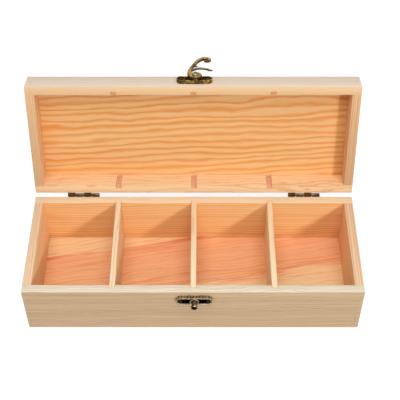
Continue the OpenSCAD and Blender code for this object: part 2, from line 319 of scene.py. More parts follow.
# 1 where the camera sees a surface straight or through a mirror or glass
def seenMask(tree):
    rays = addNode(tree, "LightPath")
    seen = calc(tree, "MAXIMUM", rays.outputs["Is Camera Ray"], rays.outputs["Is Glossy Ray"])
    return calc(tree, "MAXIMUM", seen, rays.outputs["Is Transmission Ray"])


def newGroup(name, inputs, outputs):
    tree = bpy.data.node_groups.new(name, "ShaderNodeTree")
    for label, kind, start in inputs:
        socket = tree.interface.new_socket(name=label, in_out="INPUT", socket_type=kind)
        if start is not None:
            socket.default_value = start
    for label, kind in outputs:
        tree.interface.new_socket(name=label, in_out="OUTPUT", socket_type=kind)
    return tree, tree.nodes.new("NodeGroupInput"), tree.nodes.new("NodeGroupOutput")


# How each pattern is stretched along and across the tree, and how far it pushes the rings
grainShape = {
    "seedShift": (90, 37, 53), "wander": (0.0065, 0.022, 0.022), "wobble": (0.03, 0.11, 0.11),
    "wobbleShare": 0.35, "warpReach": 4, "yearScale": 0.55, "yearSway": 0.8,
    "ringStart": 0.3,
    "ring": ((0.1, 0.02), (0.5, 0.12), (0.72, 0.55), (0.86, 1.0), (0.93, 0.9)),
    "softRing": (-0.4, 1.0), "fibre": (0.03, 1.5, 1.5), "fibreSpan": (0.3, 0.7),
    "flames": (0.012, 0.28, 0.28), "flameReach": 34, "heartEdge": 0.86, "heartFade": 1.08,
    "brimSpan": (0.05, 0.3), "veins": (0.014, 0.75, 0.75), "veinSpan": (0.48, 0.6),
    "patch": (0.006, 0.05, 0.05), "patchSpan": (0.35, 0.65),
}


# Growth rings round the X axis, which runs along the tree's heart, and fibres along it
def makeGrainGroup():
    shape = grainShape
    tree, source, sink = newGroup(
        "pineGrain",
        [("Vector", "NodeSocketVector", None), ("Spacing", "NodeSocketFloat", 2.0),
         ("Warp", "NodeSocketFloat", 1.0), ("Seed", "NodeSocketFloat", 0.0),
         ("Soft", "NodeSocketFloat", 0.0), ("Uneven", "NodeSocketFloat", 0.5),
         ("Heart At", "NodeSocketFloat", 0.0), ("Heart Width", "NodeSocketFloat", 10.0)],
        [("Late", "NodeSocketFloat"), ("Fibre", "NodeSocketFloat"),
         ("Patch", "NodeSocketFloat"), ("Heart", "NodeSocketFloat"),
         ("Brim", "NodeSocketFloat")])
    inMm = stretch(tree, source.outputs["Vector"], (1000, 1000, 1000))
    seed = addNode(tree, "CombineXYZ")
    for socket in seed.inputs:
        feed(tree, source.outputs["Seed"], socket)
    shifted = addNode(tree, "VectorMath")
    feed(tree, inMm, shifted.inputs[0])
    feed(tree, stretch(tree, seed.outputs[0], shape["seedShift"]), shifted.inputs[1])

    def streaks(word, detail, rough=0.5):
        return noise(tree, stretch(tree, shifted.outputs[0], shape[word]), 1.0, detail, rough)

    wander = streaks("wander", 1.5)
    wobble = streaks("wobble", 2.0)
    parts = addNode(tree, "SeparateXYZ")
    feed(tree, inMm, parts.inputs[0])
    drift = addNode(tree, "SeparateColor")
    feed(tree, wander.outputs["Color"], drift.inputs[0])
    shiver = times(tree, calc(tree, "SUBTRACT", wobble.outputs[0], 0.5), shape["wobbleShare"])
    reach = times(tree, source.outputs["Warp"], shape["warpReach"])
    bent = []
    for axis, channel in (("Y", "Red"), ("Z", "Green")):
        sway = calc(tree, "ADD", calc(tree, "SUBTRACT", drift.outputs[channel], 0.5), shiver)
        sway = times(tree, sway, reach)
        bent.append(calc(tree, "ADD", parts.outputs[axis], sway))
    radius = calc(tree, "SQRT", calc(tree, "ADD", calc(tree, "POWER", bent[0], 2.0),
                                     calc(tree, "POWER", bent[1], 2.0)))
    years = calc(tree, "DIVIDE", radius, source.outputs["Spacing"])
    wet = addNode(tree, "TexNoise")
    wet.noise_dimensions = "1D"
    feed(tree, calc(tree, "ADD", years, source.outputs["Seed"]), wet.inputs["W"])
    wet.inputs["Scale"].default_value = shape["yearScale"]
    years = calc(tree, "ADD", years, times(tree, wet.outputs[0], shape["yearSway"]))
    season = calc(tree, "FRACT", years)
    dark = addNode(tree, "TexWhiteNoise")
    dark.noise_dimensions = "1D"
    feed(tree, calc(tree, "FLOOR", years), dark.inputs["W"])
    ramp = addNode(tree, "ValToRGB")
    feed(tree, season, ramp.inputs[0])
    stops = ramp.color_ramp.elements
    for stop in stops:
        stop.color = [shape["ringStart"]] * 3 + [1]
    for place, value in shape["ring"]:
        stops.new(place).color = (value, value, value, 1)
    wave = calc(tree, "COSINE", times(tree, years, math.tau))
    wave = spread(tree, wave, *shape["softRing"])
    rings = addNode(tree, "Mix")
    feed(tree, source.outputs["Soft"], rings.inputs[0])
    feed(tree, ramp.outputs[0], rings.inputs[2])
    feed(tree, wave, rings.inputs[3])
    weak = times(tree, source.outputs["Uneven"], dark.outputs["Value"])
    feed(tree, times(tree, rings.outputs[0], calc(tree, "SUBTRACT", 1.0, weak)),
         sink.inputs["Late"])
    fibre = streaks("fibre", 3.0, 0.65)
    feed(tree, spread(tree, fibre.outputs[0], *shape["fibreSpan"]), sink.inputs["Fibre"])
    flames = calc(tree, "SUBTRACT", streaks("flames", 3.0, 0.6).outputs[0], 0.5)
    ragged = calc(tree, "ADD", bent[0], times(tree, flames, shape["flameReach"]))
    away = calc(tree, "ABSOLUTE", calc(tree, "SUBTRACT", ragged, source.outputs["Heart At"]))
    away = calc(tree, "DIVIDE", away, source.outputs["Heart Width"])
    heart = spread(tree, away, shape["heartEdge"], shape["heartFade"], 1.0, 0.0)
    feed(tree, heart, sink.inputs["Heart"])
    brim = calc(tree, "ABSOLUTE", calc(tree, "SUBTRACT", away, shape["heartEdge"]))
    brim = spread(tree, brim, *shape["brimSpan"], 1.0, 0.0)
    veins = spread(tree, streaks("veins", 2.0, 0.6).outputs[0], *shape["veinSpan"])
    feed(tree, times(tree, brim, veins), sink.inputs["Brim"])
    patch = streaks("patch", 2.0)
    feed(tree, spread(tree, patch.outputs[0], *shape["patchSpan"]), sink.inputs["Patch"])
    return tree


pineGrain = makeGrainGroup()


# turn and pith lay the tree's heart on the X axis; turn is in degrees
def makePine(name, look):
    material = bpy.data.materials.new(name)
    material.use_nodes = True
    tree = material.node_tree
    shader = tree.nodes["Principled BSDF"]
    coords = addNode(tree, "TexCoord")
    vector = coords.outputs["Object"]
    if look["onLid"]:
        back = lidTurn.inverted()
        vector = mapped(tree, vector, (hinge["opening"], 0, 0), back.to_translation() / mm)
    vector = mapped(tree, vector, look["turn"], look["pith"])
    grain = addNode(tree, "Group")
    grain.node_tree = pineGrain
    feed(tree, vector, grain.inputs["Vector"])
    for label, key in (("Spacing", "spacing"), ("Warp", "warp"), ("Seed", "seed"),
                       ("Soft", "soft"), ("Uneven", "uneven"), ("Heart At", "heartAt"),
                       ("Heart Width", "heartWidth")):
        grain.inputs[label].default_value = look[key]
    patch = times(tree, grain.outputs["Patch"], look["patch"])
    colour = blend(tree, patch, tint(*look["early"]), tint(*look["heart"]))
    rosy = times(tree, grain.outputs["Heart"], look["rosy"])
    colour = blend(tree, rosy, colour, tint(*look["rose"]))
    normal = coords.outputs["Normal"]
    sawn = addNode(tree, "VectorMath")  # the sawn rim has a colour of its own
    sawn.operation = "DOT_PRODUCT"
    feed(tree, normal, sawn.inputs[0])
    rimWay = lidTurn.to_3x3() @ Vector((0, 0, -1)) if look["onLid"] else (0, 0, 1)
    sawn.inputs[1].default_value = rimWay
    sawn = spread(tree, sawn.outputs["Value"], *look["rimSpan"], 0.0, look["rimShare"])
    colour = blend(tree, sawn, colour, tint(*look["rim"]))
    late = times(tree, grain.outputs["Late"], look["contrast"])
    late = times(tree, late, spread(tree, sawn, 0, 1, 1, look["rimCalm"]))
    late = calc(tree, "MAXIMUM", late, times(tree, grain.outputs["Brim"], look["brim"]))
    colour = blend(tree, late, colour, tint(*look["late"]))
    streak = times(tree, grain.outputs["Fibre"], look["streak"])
    colour = blend(tree, streak, colour, tint(*look["late"]))
    facing = addNode(tree, "SeparateXYZ")
    feed(tree, normal, facing.inputs[0])
    endGrain = calc(tree, "ABSOLUTE", facing.outputs["X" if look["along"] == "x" else "Y"])
    endGrain = spread(tree, endGrain, *look["endSpan"], 0.0, look["endShare"])
    colour = blend(tree, endGrain, colour, tint(*look["end"]))
    feed(tree, colour, shader.inputs["Base Color"])
    rough = spread(tree, grain.outputs["Fibre"], 0, 1, look["smoothest"], look["roughest"])
    feed(tree, rough, shader.inputs["Roughness"])
    shader.inputs["Specular IOR Level"].default_value = look["gloss"]
    bump = addNode(tree, "Bump")
    bump.inputs["Strength"].default_value = look["bump"]
    bump.inputs["Distance"].default_value = look["bumpDepth"] * mm
    height = times(tree, grain.outputs["Fibre"], look["fibreBump"])
    height = calc(tree, "ADD", height, grain.outputs["Late"])
    feed(tree, height, bump.inputs["Height"])
    feed(tree, bump.outputs[0], shader.inputs["Normal"])
    return material


# Worn edges, blotches and fine pits of the old bronze finish, and a painted highlight on the
# faces that point up
agedShape = {
    "samples": 6, "blotchScale": 380, "blotchSpan": (0.35, 0.68), "pitSpan": (0.38, 0.6),
    "pitLeast": 0.2, "edgeSpan": (0.995, 0.9), "wornSpan": (0.3, 0.55), "wornLeast": 0.6,
    "highlightPatchScale": 140, "highlightPatchSpan": (0.44, 0.57), "highlightPatchLeast": 0.2,
}


def makeAgedGroup():
    shape = agedShape
    tree, source, sink = newGroup(
        "agedMetal",
        [("Vector", "NodeSocketVector", None), ("Up", "NodeSocketFloat", 0.0),
         ("Highlight From", "NodeSocketFloat", 0.1), ("Highlight To", "NodeSocketFloat", 0.7),
         ("Edge Width", "NodeSocketFloat", 0.0005), ("Grit", "NodeSocketFloat", 900.0)],
        [("Edge", "NodeSocketFloat"), ("Blotch", "NodeSocketFloat"),
         ("Pits", "NodeSocketFloat"), ("Top Highlight", "NodeSocketFloat")])
    rounded = addNode(tree, "Bevel")
    rounded.samples = shape["samples"]
    feed(tree, source.outputs["Edge Width"], rounded.inputs["Radius"])
    geometry = addNode(tree, "NewGeometry")
    meet = addNode(tree, "VectorMath")
    meet.operation = "DOT_PRODUCT"
    feed(tree, rounded.outputs[0], meet.inputs[0])
    feed(tree, geometry.outputs["Normal"], meet.inputs[1])
    blotch = noise(tree, source.outputs["Vector"], shape["blotchScale"], 3.0, 0.6)
    grit = noise(tree, source.outputs["Vector"], source.outputs["Grit"], 2.0, 0.55)
    pits = spread(tree, grit.outputs[0], *shape["pitSpan"])
    edge = spread(tree, meet.outputs["Value"], *shape["edgeSpan"])
    worn = spread(tree, blotch.outputs[0], *shape["wornSpan"], shape["wornLeast"], 1)
    feed(tree, times(tree, edge, worn), sink.inputs["Edge"])
    feed(tree, spread(tree, blotch.outputs[0], *shape["blotchSpan"]), sink.inputs["Blotch"])
    feed(tree, pits, sink.inputs["Pits"])
    # Painted highlight: brass on faces that point up, broken into patches like uneven
    # reflections
    topHighlight = spread(tree, source.outputs["Up"], source.outputs["Highlight From"],
                    source.outputs["Highlight To"])
    highlightPatches = noise(tree, source.outputs["Vector"], shape["highlightPatchScale"], 1.0)
    highlightPatches = spread(tree, highlightPatches.outputs[0], *shape["highlightPatchSpan"],
                     shape["highlightPatchLeast"], 1)
    topHighlight = times(tree, topHighlight, highlightPatches)
    topHighlight = times(tree, topHighlight, spread(tree, pits, 0, 1, shape["pitLeast"], 1))
    feed(tree, topHighlight, sink.inputs["Top Highlight"])
    return tree


agedMetal = makeAgedGroup()


def makeBronze(name, look):
    material = bpy.data.materials.new(name)
    material.use_nodes = True
    tree = material.node_tree
    shader = tree.nodes["Principled BSDF"]
    shader.inputs["Specular Tint"].default_value = tint(*look["glance"])
    coords = addNode(tree, "TexCoord")
    normal = addNode(tree, "SeparateXYZ")
    feed(tree, coords.outputs["Normal"], normal.inputs[0])
    aged = addNode(tree, "Group")
    aged.node_tree = agedMetal
    feed(tree, coords.outputs["Object"], aged.inputs["Vector"])
    feed(tree, normal.outputs["Z"], aged.inputs["Up"])
    aged.inputs["Edge Width"].default_value = look["edgeWidth"] * mm
    for label, key in (("Grit", "grit"), ("Highlight From", "highlightFrom"), ("Highlight To", "highlightTo")):
        aged.inputs[label].default_value = look[key]
    colour = blend(tree, aged.outputs["Blotch"], tint(*look["dark"]), tint(*look["brown"]))
    # Painted highlight: brass laid over the faces that point up
    topHighlight = times(tree, aged.outputs["Top Highlight"], look["topHighlight"])
    colour = blend(tree, topHighlight, colour, tint(*look["brass"]))
    edge = times(tree, aged.outputs["Edge"], look["wear"])
    colour = blend(tree, edge, colour, tint(*look["bright"]))
    dirt = spread(tree, aged.outputs["Pits"], 0, 1, look["dirt"], 0)
    colour = blend(tree, dirt, colour, tint(*look["dark"]))
    feed(tree, colour, shader.inputs["Base Color"])
    # Metal where the edges are worn and where the highlight is painted
    wearAndHighlight = calc(tree, "MAXIMUM", edge, topHighlight)
    feed(tree, spread(tree, wearAndHighlight, 0, 1, look["shine"], 1.0), shader.inputs["Metallic"])
    rough = spread(tree, aged.outputs["Pits"], 0, 1, look["rough"] + look["pitRough"],
                   look["rough"] - look["topSmooth"])
    feed(tree, rough, shader.inputs["Roughness"])
    bump = addNode(tree, "Bump")
    bump.inputs["Strength"].default_value = look["pitting"]
    bump.inputs["Distance"].default_value = look["pitDepth"] * mm
    feed(tree, aged.outputs["Pits"], bump.inputs["Height"])
    feed(tree, bump.outputs[0], shader.inputs["Normal"])
    return material


print("node groups made")

paleWood = {
    "onLid": False, "along": "x", "turn": (0, 0, 0.5), "pith": (0, 120, 50), "seed": 1.0,
    "spacing": 2.1, "warp": 1.6, "soft": 0.2, "uneven": 0.5, "contrast": 1.0,
    "patch": 0.25, "streak": 0.22,
    "early": (240, 216, 182), "late": (204, 156, 104), "heart": (240, 202, 162),
    "rose": (240, 168, 126), "rosy": 0, "heartAt": 0, "heartWidth": 10, "brim": 0,
    "rim": (240, 206, 162), "rimShare": 0, "rimCalm": 1, "rimSpan": (0.9, 0.98),
    "end": (205, 165, 120), "endShare": 0.55, "endSpan": (0.75, 0.95), "smoothest": 0.5,
    "roughest": 0.66, "gloss": 0.3, "bump": 0.25, "bumpDepth": 0.2, "fibreBump": 0.6,
}
warmWood = dict(
    paleWood, early=(242, 197, 138), late=(228, 143, 60), heart=(241, 180, 112),
    spacing=6.2, warp=4.2, soft=0.75, uneven=0.4, patch=0.3, streak=0.2)

woodLooks = {
    "frontBoard": dict(
        paleWood, turn=(0, 1.2, 0), spacing=1.0, warp=2.0, uneven=0.6, streak=0.3,
        early=(244, 216, 176), late=(160, 112, 68), rim=(255, 247, 221), rimShare=0.95,
        rimCalm=0.35),
    "backBoard": dict(
        paleWood, seed=2.3, pith=(0, -120, 60), spacing=2.6, warp=3.2, contrast=0.75,
        uneven=0.7, early=(250, 202, 142), late=(218, 132, 64), heart=(247, 187, 122),
        rim=(240, 214, 176), rimShare=1.0, rimCalm=0.2),
    "leftBoard": dict(
        paleWood, along="y", turn=(0, 0, -90), seed=3.1, pith=(0, 40, 100),
        early=(255, 226, 184), late=(232, 172, 114), rim=(236, 212, 184), rimShare=0.9),
    "rightBoard": dict(
        paleWood, along="y", turn=(0, 0, -90), seed=4.7, pith=(0, -40, 110),
        early=(255, 216, 170), late=(212, 140, 88), rim=(240, 212, 180), rimShare=0.7),
    "floorWood": dict(
        warmWood, early=(254, 228, 176), late=(228, 124, 84), heart=(253, 222, 166),
        rose=(254, 198, 148), rosy=0.95, heartAt=77, heartWidth=27, brim=0.85, seed=5.2,
        turn=(0, 0, -9), pith=(0, 60, 30), spacing=3.4, warp=4.5, soft=0, uneven=1.0,
        contrast=0.5, streak=0.28),
    "dividerWood": dict(
        paleWood, along="y", turn=(0, 0, -90), seed=6.6, pith=(0, 30, 140),
        early=(253, 229, 194), late=(228, 184, 132)),
    "lidFrontWood": dict(
        paleWood, onLid=True, seed=7.4, pith=(0, 120, 20), spacing=3.4, contrast=0.65,
        early=(255, 240, 221), late=(237, 199, 164), heart=(252, 226, 209), rim=(238, 194, 136),
        rimShare=0.9),
    "lidBackWood": dict(
        paleWood, onLid=True, seed=8.8, pith=(0, -30, -40), early=(244, 210, 166),
        late=(222, 152, 92), spacing=4.2, warp=6.0, soft=0.1, contrast=0.8,
        heart=(243, 198, 152)),
    "lidLeftWood": dict(
        paleWood, onLid=True, along="y", turn=(0, 0, -90), seed=9.5, pith=(0, 60, 40),
        spacing=1.7, early=(251, 216, 172), late=(214, 142, 86), contrast=1.3),
    # The right rail's pale early colour, kept off the rim by its own rim colour, is partly
    # painted light on the shaded inner face
    "lidRightWood": dict(
        paleWood, onLid=True, along="y", turn=(0, 0, -90), seed=10.2, pith=(0, -60, 40),
        spacing=1.7, early=(255, 218, 170), late=(208, 130, 84), contrast=1.3,
        rim=(246, 206, 160), rimShare=0.9),
    "lidPanelWood": dict(
        warmWood, onLid=True, turn=(0, 0, 2.5), seed=11.9, pith=(0, 150, -40)),
    "rawCut": dict(
        paleWood, seed=12.5, early=(238, 184, 146), late=(206, 150, 112),
        heart=(230, 172, 136)),
    # Groove faces of the lid's front rail, darkened as painted shade inside the deep grooves
    "shadedGrooveCut": dict(
        paleWood, seed=13.1, early=(190, 98, 52), late=(160, 78, 40),
        heart=(182, 90, 46)),
}
woods = {name: makePine(name, look) for name, look in woodLooks.items()}
print("wood finishes made")

# In each look, the brass on faces that point up is a painted highlight; on the hook it lies
# only along the crest
bronzeLook = {
    "dark": (28, 20, 12), "brown": (66, 48, 27), "brass": (180, 142, 80),
    "bright": (232, 204, 150), "wear": 0.6, "topHighlight": 0.85, "highlightFrom": 0.1, "highlightTo": 0.7,
    "edgeWidth": 0.45, "grit": 1100, "shine": 0.85, "rough": 0.32, "pitting": 0.4,
    "dirt": 0.3, "glance": (240, 205, 150), "pitRough": 0.14, "topSmooth": 0.04,
    "pitDepth": 0.15,
}
metalLooks = {
    "hookBronze": dict(
        bronzeLook, dark=(40, 30, 21), brown=(84, 65, 46), brass=(224, 184, 118), grit=900,
        highlightFrom=0.7, highlightTo=0.98, topHighlight=0.95, pitting=0.15, wear=0.2, dirt=0.05, rough=0.27,
        glance=(255, 236, 205)),
    # The catch plate's wide, near-white edge wear is real wear and also a painted highlight
    # along its rim
    "catchBronze": dict(
        bronzeLook, brass=(182, 142, 88), bright=(250, 234, 200), grit=520, pitting=0.8,
        topHighlight=0.8, wear=1.0, edgeWidth=1.1, dirt=0.35, glance=(255, 236, 205)),
    "plateBronze": dict(
        bronzeLook, dark=(40, 28, 14), brass=(204, 164, 84), grit=560, highlightFrom=-0.6, highlightTo=0.3,
        pitting=0.9, wear=0.9, dirt=0.7),
    "plateFace": dict(
        bronzeLook, dark=(5, 4, 3), brown=(18, 13, 9), brass=(170, 138, 84), shine=0.97,
        wear=0.2, pitting=0.8, grit=560, dirt=0.7, glance=(96, 70, 44)),
    # The base leaves take the hinge brass; the lid leaves take a darker copy of it, painted
    # shade on their knuckles
    "hingeBronze": dict(
        bronzeLook, brown=(84, 62, 38), brass=(176, 142, 96), highlightFrom=0.5, highlightTo=1.0, wear=0.4,
        dirt=0.1),
    "hingeShadedCopy": dict(
        bronzeLook, dark=(30, 20, 10), brown=(70, 46, 18), brass=(112, 78, 34), highlightFrom=0.5,
        highlightTo=1.0, topHighlight=0.7, wear=0.25, dirt=0.1),
    "nailBronze": dict(
        bronzeLook, dark=(24, 18, 13), brown=(48, 37, 25), wear=0.4),
    # The post's near-black colour and dull glance paint shade on its end face, and its brass on
    # faces that point up is a painted highlight
    "postBronze": dict(
        bronzeLook, dark=(10, 7, 5), brown=(24, 18, 13), brass=(214, 190, 148), highlightFrom=0.15,
        highlightTo=0.6, topHighlight=1.0, wear=0.15, rough=0.42, dirt=0.1, glance=(120, 90, 60)),
    "rivetBronze": dict(
        bronzeLook, dark=(92, 80, 60), brown=(122, 108, 82), brass=(176, 164, 132),
        rough=0.3, grit=500),
    "bradSteel": dict(
        bronzeLook, dark=(110, 102, 92), brown=(138, 126, 112), brass=(150, 140, 125),
        bright=(170, 160, 145), wear=0.2, rough=0.45),
}
metals = {name: makeBronze(name, look) for name, look in metalLooks.items()}
print("metal finishes made")


def dress(piece, finishes, body, slot, *nodes):
    for finish in finishes if isinstance(finishes, list) else [finishes]:
        piece.data.materials.append(finish)
    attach(piece, body)
    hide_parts(*nodes)


boards = {
    "bottomRound": 1.5, "topRound": 2.5, "roundSteps": 5, "ease": 0.15, "panelEase": 0.2,
    "dividers": (-71.0, 0.3, 71.6), "dividerT": 5, "dividerRound": 0.4, "groove": 3,
    "grooveFit": 0.1, "bradX": 146, "bradHole": 0.65, "bradReach": 20.45,
    "baseBradZ": (13, 42.5), "lidBradZ": (65.8,), "nailHole": 0.65, "nailDepth": 6.6,
    "past": 1,  # how far a cutter runs past the face that it cuts
}


def grooveCutter(side, low, high):
    cutters = []
    for x in boards["dividers"]:
        half = boards["dividerT"] / 2 + boards["grooveFit"]
        ends = sorted((side * (innerD - boards["past"]), side * (innerD + boards["groove"])))
        cutters.append(startBox("groove", (x - half, ends[0], low), (x + half, ends[1], high)))
    return joinPieces(cutters, "grooves")


def bradCutter(side, heights):
    cutters = []
    turn = onBack if side > 0 else onFront
    for x in (-boards["bradX"], boards["bradX"]):
        for z in heights:
            hole = peg("bradHole", boards["bradHole"], -boards["bradReach"], boards["past"])
            cutters.append(movePiece(hole, turn(x, z)))
    return joinPieces(cutters, "bradHoles")


# A board that runs the whole width of the box, with rounded outer edges at one height
def makeEndBoard(name, side, low, high, roundAt, roundBy, brads, grooveLow, grooveHigh):
    ends = sorted((side * innerD, side * halfD))
    board = startBox(name, (-halfW, ends[0], low), (halfW, ends[1], high))
    outer = side * halfD
    steps = boards["roundSteps"]
    bevelWhere(board, edgeAt("y", outer, roundAt), roundBy, steps)
    for x in (-halfW, halfW):
        bevelWhere(board, edgeAt("x", x, roundAt), roundBy, steps)
    combine(board, grooveCutter(side, grooveLow, grooveHigh), "DIFFERENCE")
    easeEdges(board, boards["ease"])
    combine(board, bradCutter(side, brads), "DIFFERENCE")
    half = boards["dividerT"] / 2 + boards["grooveFit"] + 0.2  # with a little slack
    # Groove faces take the second finish, which on the lid's front rail is painted shade
    for face in board.data.polygons:  # the raw cut of the grooves
        corners = [board.data.vertices[i].co / mm for i in face.vertices]
        depths = [side * p.y - innerD for p in corners]
        if min(depths) > -0.01 and 1 < max(depths) < boards["groove"] + 0.01 \
                and any(all(abs(p.x - x) < half for p in corners) for x in boards["dividers"]):
            face.material_index = 1
    return board


def makeSideBoard(name, side, low, high, roundAt, roundBy, brads):
    ends = sorted((side * innerW, side * halfW))
    board = startBox(name, (ends[0], -innerD, low), (ends[1], innerD, high))
    outer = side * halfW
    bevelWhere(board, edgeAt("x", outer, roundAt), roundBy, boards["roundSteps"])
    easeEdges(board, boards["ease"])
    for end in (-1, 1):
        combine(board, bradCutter(end, brads), "DIFFERENCE")
    return board


def nailCutters(places):
    cutters = []
    for place in places:
        hole = peg("nailHole", boards["nailHole"], -boards["nailDepth"], boards["past"])
        cutters.append(movePiece(hole, place))
    return joinPieces(cutters, "nailHoles")


def leafNailPlaces(up):
    return [onBack(side * hinge["x"] + end * hinge["nailPitch"] / 2,
                   hinge["axisZ"] + up * hinge["nailDrop"])
            for side in (-1, 1) for end in (-1, 1)]


def plateNailPlaces(z):
    return [onFront(clasp["x"] + side * clasp["nailPitch"] / 2, z) for side in (-1, 1)]


clasp = {
    "x": 1.2, "postZ": 46.7, "pivotZ": 65.8, "pivotShift": 1.0, "width": 32, "height": 9.5,
    "thick": 3.8, "edge": 0.4, "rim": 1.0, "sunk": 0.3, "sunkSlope": 0.25, "seat": 4.0,
    "seatRise": 0.6, "seatEase": 0.2, "nailPitch": 24.2, "recess": 1.2, "recessR": 1.5,
    "bore": 1.55, "flutes": 28, "fluteR": 0.6, "fluteDepth": 0.3, "cutTop": 6,
}
leafNails = leafNailPlaces(-1)
lidLeafNails = leafNailPlaces(1)
catchNails = plateNailPlaces(clasp["postZ"])
hookNails = plateNailPlaces(clasp["pivotZ"])

baseH = box["baseHeight"]
front = makeEndBoard("baseFrontBoard", -1, 0, baseH, 0, boards["bottomRound"],
                     boards["baseBradZ"], box["floor"], baseH + boards["past"])
combine(front, nailCutters(catchNails), "DIFFERENCE")
dress(front, [woods["frontBoard"], woods["rawCut"]], "base", "pine_board", "base_front_board")
back = makeEndBoard("baseBackBoard", 1, 0, baseH, 0, boards["bottomRound"],
                    boards["baseBradZ"], box["floor"], baseH + boards["past"])
combine(back, nailCutters(leafNails), "DIFFERENCE")
dress(back, [woods["backBoard"], woods["rawCut"]], "base", "pine_board", "base_back_board")
for side, word in ((-1, "left"), (1, "right")):
    board = makeSideBoard(f"base{word.title()}Board", side, 0, baseH, 0,
                          boards["bottomRound"], boards["baseBradZ"])
    dress(board, woods[f"{word}Board"], "base", "pine_board", f"base_{word}_board")

floor = startBox("baseFloor", (-innerW, -innerD, 0), (innerW, innerD, box["floor"]))
easeEdges(floor, boards["panelEase"])
dress(floor, woods["floorWood"], "base", "pine_floor", "base_floor")

for x, word in zip(boards["dividers"], ("left", "middle", "right")):
    reach = innerD + boards["groove"] - boards["grooveFit"]
    half = boards["dividerT"] / 2
    divider = startBox(f"divider{word.title()}", (x - half, -reach, box["floor"]),
                       (x + half, reach, baseH))
    for edge in (x - half, x + half):
        bevelWhere(divider, edgeAt("x", edge, baseH), boards["dividerRound"], 3)
    easeEdges(divider, boards["ease"])
    dress(divider, woods["dividerWood"], "base", "pine_divider", f"divider_{word}")
print("base boards made")

panelZ = lidTop - box["panel"]
lidFront = makeEndBoard("lidFrontRail", -1, lidZ, lidTop, lidTop, boards["topRound"],
                        boards["lidBradZ"], lidZ - boards["past"], panelZ)
combine(lidFront, nailCutters(hookNails), "DIFFERENCE")
dress(movePiece(lidFront, lidTurn), [woods["lidFrontWood"], woods["shadedGrooveCut"]], "lid",
      "pine_board", "lid_front_rail")
lidBack = makeEndBoard("lidBackRail", 1, lidZ, lidTop, lidTop, boards["topRound"],
                       boards["lidBradZ"], lidZ - boards["past"], panelZ)
combine(lidBack, nailCutters(lidLeafNails), "DIFFERENCE")
dress(movePiece(lidBack, lidTurn), [woods["lidBackWood"], woods["rawCut"]], "lid",
      "pine_board", "lid_back_rail")
for side, word in ((-1, "left"), (1, "right")):
    rail = makeSideBoard(f"lid{word.title()}Rail", side, lidZ, lidTop, lidTop,
                         boards["topRound"], boards["lidBradZ"])
    dress(movePiece(rail, lidTurn), woods[f"lid{word.title()}Wood"], "lid", "pine_board",
          f"lid_{word}_rail")
panel = startBox("lidPanel", (-innerW, -innerD, panelZ), (innerW, innerD, lidTop))
easeEdges(panel, boards["panelEase"])
dress(movePiece(panel, lidTurn), woods["lidPanelWood"], "lid", "pine_panel", "lid_panel")
print("lid boards made")

nail = {"shank": 0.6, "length": 6.5, "point": 1.2, "head": 1.3, "rim": 0.15, "rise": 0.8}


def makeNail(name):
    profile = [[nail["shank"] / 4, -nail["length"]],
               [nail["shank"], nail["point"] - nail["length"]],
               [nail["shank"], 0], [nail["head"], 0], [nail["head"], nail["rim"]]]
    dome = domeProfile(nail["head"], nail["rim"], nail["rise"] - nail["rim"], 5)
    return turnPart(name, profile + dome, 24)


def makeNails(name, places, up):
    lift = Matrix.Translation((0, 0, up * mm))
    first = makeNail(name)
    twins = [copyPiece(first, place @ lift, name) for place in places[1:]]
    movePiece(first, places[0] @ lift)
    nails = joinPieces([first] + twins, name)
    smoothShade(nails)
    return nails


nailBronze = metals["nailBronze"]
dress(makeNails("hingeBaseNails", leafNails, hinge["leaf"]), nailBronze, "base",
      "antique_bronze", "hinge_base_nails")
lidNails = makeNails("hingeLidNails", lidLeafNails, hinge["leaf"])
dress(movePiece(lidNails, lidTurn), nailBronze, "lid", "antique_bronze", "hinge_lid_nails")
dress(makeNails("catchPlateNails", catchNails, clasp["thick"] - clasp["recess"]), nailBronze,
      "base", "antique_bronze", "catch_plate_nails")
plateNails = makeNails("hookPlateNails", hookNails, clasp["thick"] - clasp["recess"])
dress(movePiece(plateNails, lidTurn), nailBronze, "lid", "antique_bronze", "hook_plate_nails")

# [radius, height] pairs: shank, neck and head
post = {
    "profile": [[1.5, 0], [1.5, 4.4], [2, 4.4], [2, 7.7], [2.25, 8], [2.5, 8], [2.7, 8.25],
                [2.7, 10.25], [2.6, 10.5], [2.35, 10.6]],
}
catchPost = turnPart("catchPost", post["profile"], 40)
smoothShade(catchPost, 50)
dress(movePiece(catchPost, onFront(clasp["x"], clasp["postZ"])), metals["postBronze"], "base",
      "antique_bronze", "catch_post")

rivet = {"shank": 1.5, "headAt": 7.8, "head": 3.0, "rim": 0.2, "rise": 1.98}
domeAt = rivet["headAt"] + rivet["rim"]
hookRivet = turnPart("hookRivet", [
    [rivet["shank"], 0], [rivet["shank"], rivet["headAt"]], [rivet["head"], rivet["headAt"]],
    [rivet["head"], domeAt]]
    + domeProfile(rivet["head"], domeAt, rivet["rise"] - rivet["rim"], 8), 40)
smoothShade(hookRivet, 50)
pivot = lidTurn @ onFront(clasp["x"] + clasp["pivotShift"], clasp["pivotZ"])
dress(movePiece(hookRivet, pivot), metals["rivetBronze"], "lid", "antique_bronze", "hook_rivet")
print("nails, post and rivet made")


def rimPoint(along):
    half, straight = clasp["height"] / 2, clasp["width"] - clasp["height"]
    arc = math.pi * half
    along = along % (2 * (straight + arc))
    side = 1 if along < straight + arc else -1
    along = along % (straight + arc)
    if along < straight:
        return Vector((side * (along - straight / 2), side * half, 0)), Vector((0, side, 0))
    turn = math.pi / 2 - (along - straight) / half
    out = Vector((side * math.cos(turn), side * math.sin(turn), 0))
    return Vector((side * straight / 2, 0, 0)) + out * half, out


